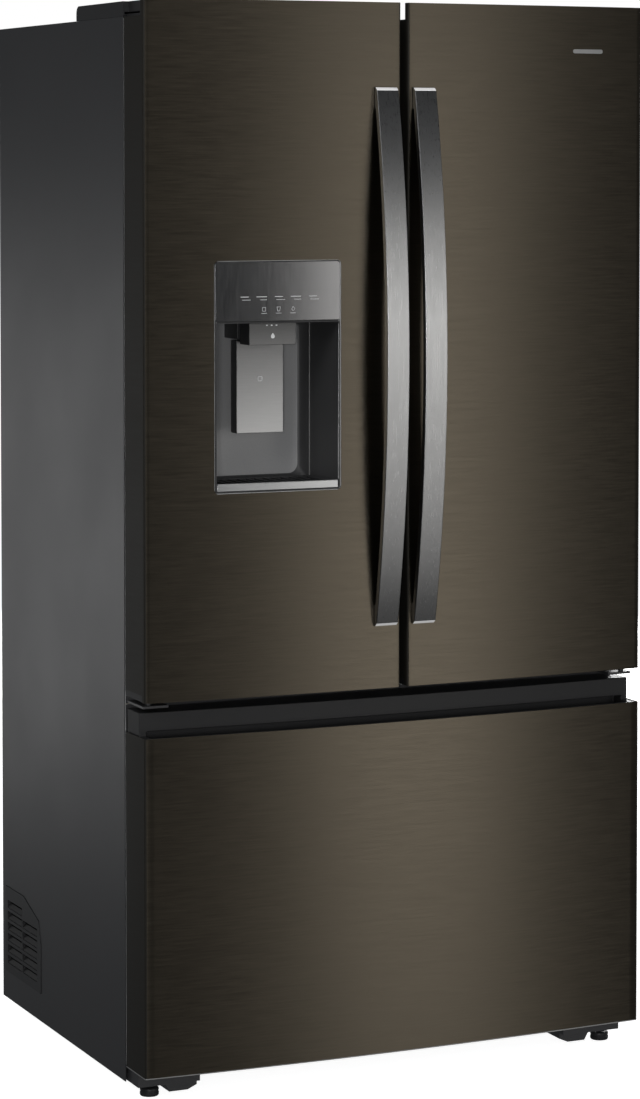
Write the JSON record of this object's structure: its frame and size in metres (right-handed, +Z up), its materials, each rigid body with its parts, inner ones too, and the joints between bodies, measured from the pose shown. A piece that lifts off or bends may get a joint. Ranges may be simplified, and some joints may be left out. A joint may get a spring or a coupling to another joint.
{
  "type": "french door refrigerator",
  "caption": "Counter-depth french door refrigerator: bowed doors, bar handles, ice and water dispenser, freezer drawer with a pocket handle.",
  "frame": {"origin": "on the floor, at the middle of the outline", "axes": "+Z up, +Y towards the rear, +X to the right seen from the front"},
  "size_m": [0.908, 0.787, 1.7855],
  "materials": {
    "painted_side": "satin",
    "black_steel": "satin",
    "handle_steel": "satin",
    "bright_steel": "satin",
    "black_plastic": "satin",
    "white_plastic": "satin",
    "clear_plastic": "gloss",
    "foam": "matte",
    "seal": "matte",
    "control_gloss": "gloss",
    "black_metal": "satin",
    "fin_metal": "satin"
  },
  "bodies": {
    "cabinet": {"left_side_panel": "painted_side", "right_side_panel": "painted_side", "top_panel": "painted_side", "rear_panel": "painted_side", "compressor_cover": "painted_side", "base_frame": "black_metal", "cabinet_insulation": "foam", "refrigerator_liner": "white_plastic", "freezer_liner": "white_plastic", "left_vent_grille": "black_plastic", "right_vent_grille": "black_plastic", "left_hinge_cover": "black_plastic", "right_hinge_cover": "black_plastic", "left_top_hinge": "bright_steel", "right_top_hinge": "bright_steel", "left_centre_hinge": "black_metal", "right_centre_hinge": "black_metal", "lower_shelf": "clear_plastic", "middle_shelf": "clear_plastic", "upper_shelf": "clear_plastic", "compressor": "black_metal", "condenser_coil": "fin_metal", "water_valve": "white_plastic", "power_inlet": "black_plastic", "left_drawer_rail": "bright_steel", "right_drawer_rail": "bright_steel"},
    "left_door": {"left_door_skin": "black_steel", "left_door_frame": "black_plastic", "left_door_liner": "white_plastic", "left_door_gasket": "seal", "left_handle": "handle_steel", "dispenser_housing": "black_plastic", "control_panel": "control_gloss", "ice_bin": "white_plastic", "left_door_bin": "clear_plastic"},
    "right_door": {"right_door_skin": "black_steel", "right_door_frame": "black_plastic", "right_door_liner": "white_plastic", "right_door_gasket": "seal", "right_handle": "handle_steel", "right_lower_bin": "clear_plastic", "right_upper_bin": "clear_plastic"},
    "freezer_drawer": {"drawer_skin": "black_steel", "drawer_liner": "white_plastic", "drawer_gasket": "seal", "pocket_handle": "black_plastic", "drawer_carriage": "bright_steel", "freezer_basket": "white_plastic"},
    "condenser_fan": {"condenser_fan": "black_plastic"},
    "left_roller": {"left_rear_roller": "black_plastic"},
    "right_roller": {"right_rear_roller": "black_plastic"},
    "left_leg": {"left_foot": "black_plastic"},
    "right_leg": {"right_foot": "black_plastic"},
    "left_crisper": {"left_crisper": "clear_plastic"},
    "right_crisper": {"right_crisper": "clear_plastic"},
    "water_lever": {"water_lever": "bright_steel"},
    "ice_paddle": {"ice_paddle": "bright_steel"},
    "drip_tray": {"drip_tray": "bright_steel"},
    "mullion": {"mullion": "seal"},
    "upper_basket": {"upper_basket": "white_plastic"}
  },
  "joints": [
    {"name": "left_door_hinge", "type": "hinge", "parent": "cabinet", "child": "left_door", "pos_m": [-0.436, -0.2965, 1.2], "axis": [0, 0, -1], "range_deg": [0, 120]},
    {"name": "right_door_hinge", "type": "hinge", "parent": "cabinet", "child": "right_door", "pos_m": [0.436, -0.2965, 1.2], "axis": [0, 0, 1], "range_deg": [0, 120]},
    {"name": "drawer_slide", "type": "slide", "parent": "cabinet", "child": "freezer_drawer", "axis": [0, -1, 0], "range_m": [0, 0.42]},
    {"name": "upper_basket_slide", "type": "slide", "parent": "freezer_drawer", "child": "upper_basket", "axis": [0, 1, 0], "range_m": [0, 0.12]},
    {"name": "left_crisper_slide", "type": "slide", "parent": "cabinet", "child": "left_crisper", "axis": [0, -1, 0], "range_m": [0, 0.13]},
    {"name": "right_crisper_slide", "type": "slide", "parent": "cabinet", "child": "right_crisper", "axis": [0, -1, 0], "range_m": [0, 0.13]},
    {"name": "water_lever_press", "type": "hinge", "parent": "left_door", "child": "water_lever", "pos_m": [-0.2245, -0.2815, 1.262], "axis": [1, 0, 0], "range_deg": [0, 5], "stiffness_Nm_per_rad": 1, "springref_deg": -6.88},
    {"name": "ice_paddle_press", "type": "hinge", "parent": "left_door", "child": "ice_paddle", "pos_m": [-0.2245, -0.2425, 1.23], "axis": [1, 0, 0], "range_deg": [0, 6], "stiffness_Nm_per_rad": 2, "springref_deg": -6.88},
    {"name": "drip_tray_slide", "type": "slide", "parent": "left_door", "child": "drip_tray", "axis": [0, -1, 0], "range_m": [0, 0.08]},
    {"name": "mullion_fold", "type": "hinge", "parent": "left_door", "child": "mullion", "pos_m": [-0.0455, -0.227, 1.2], "axis": [0, 0, 1], "range_deg": [0, 90]},
    {"name": "condenser_fan_spin", "type": "hinge", "parent": "cabinet", "child": "condenser_fan", "pos_m": [0.11, 0.2705, 0.155], "axis": [1, 0, 0], "continuous": true},
    {"name": "left_roller_spin", "type": "hinge", "parent": "cabinet", "child": "left_roller", "pos_m": [-0.415, 0.3185, 0.022], "axis": [1, 0, 0], "continuous": true},
    {"name": "right_roller_spin", "type": "hinge", "parent": "cabinet", "child": "right_roller", "pos_m": [0.415, 0.3185, 0.022], "axis": [1, 0, 0], "continuous": true},
    {"name": "left_leg_turn", "type": "hinge", "parent": "cabinet", "child": "left_leg", "pos_m": [-0.4195, -0.2555, 0], "axis": [0, 0, 1], "continuous": true},
    {"name": "right_leg_turn", "type": "hinge", "parent": "cabinet", "child": "right_leg", "pos_m": [0.4195, -0.2555, 0], "axis": [0, 0, 1], "continuous": true}
  ]
}
